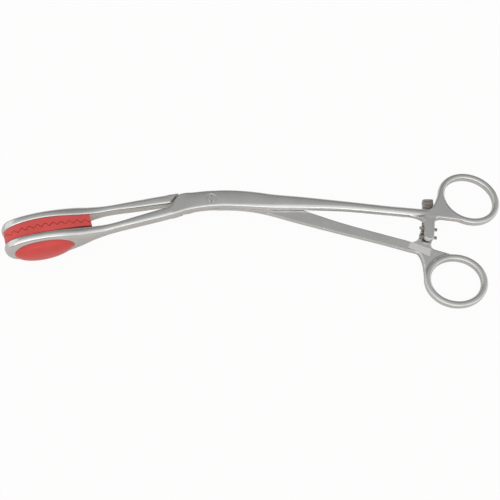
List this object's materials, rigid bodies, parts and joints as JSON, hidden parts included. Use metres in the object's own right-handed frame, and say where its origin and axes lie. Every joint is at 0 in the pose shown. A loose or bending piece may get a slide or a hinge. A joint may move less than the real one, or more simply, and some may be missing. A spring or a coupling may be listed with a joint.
{
  "type": "uterine forceps",
  "caption": "Angled surgical forceps with a screw lock, ratchet, finger rings and oval jaws holding toothed red rubber inserts.",
  "frame": {"origin": "on the pivot axis at the rear face of the lock", "axes": "+X from the lock to the finger rings, +Z along the pivot axis to the screw's slotted head, +Y towards the front half's ring"},
  "size_m": [0.2478, 0.0735, 0.0228],
  "materials": {
    "front_half": "satin",
    "rear_half": "satin",
    "pivot_screw": "satin",
    "lower_insert": "moulded",
    "upper_insert": "moulded"
  },
  "bodies": {
    "front": {"front_half": "front_half", "lower_insert": "lower_insert"},
    "rear": {"rear_half": "rear_half", "pivot_screw": "pivot_screw", "upper_insert": "upper_insert"}
  },
  "joints": [
    {"name": "lock_pivot", "type": "hinge", "parent": "front", "child": "rear", "pos_m": [0, 0, 0], "axis": [0, 0, -1], "range_deg": [0, 45]}
  ]
}
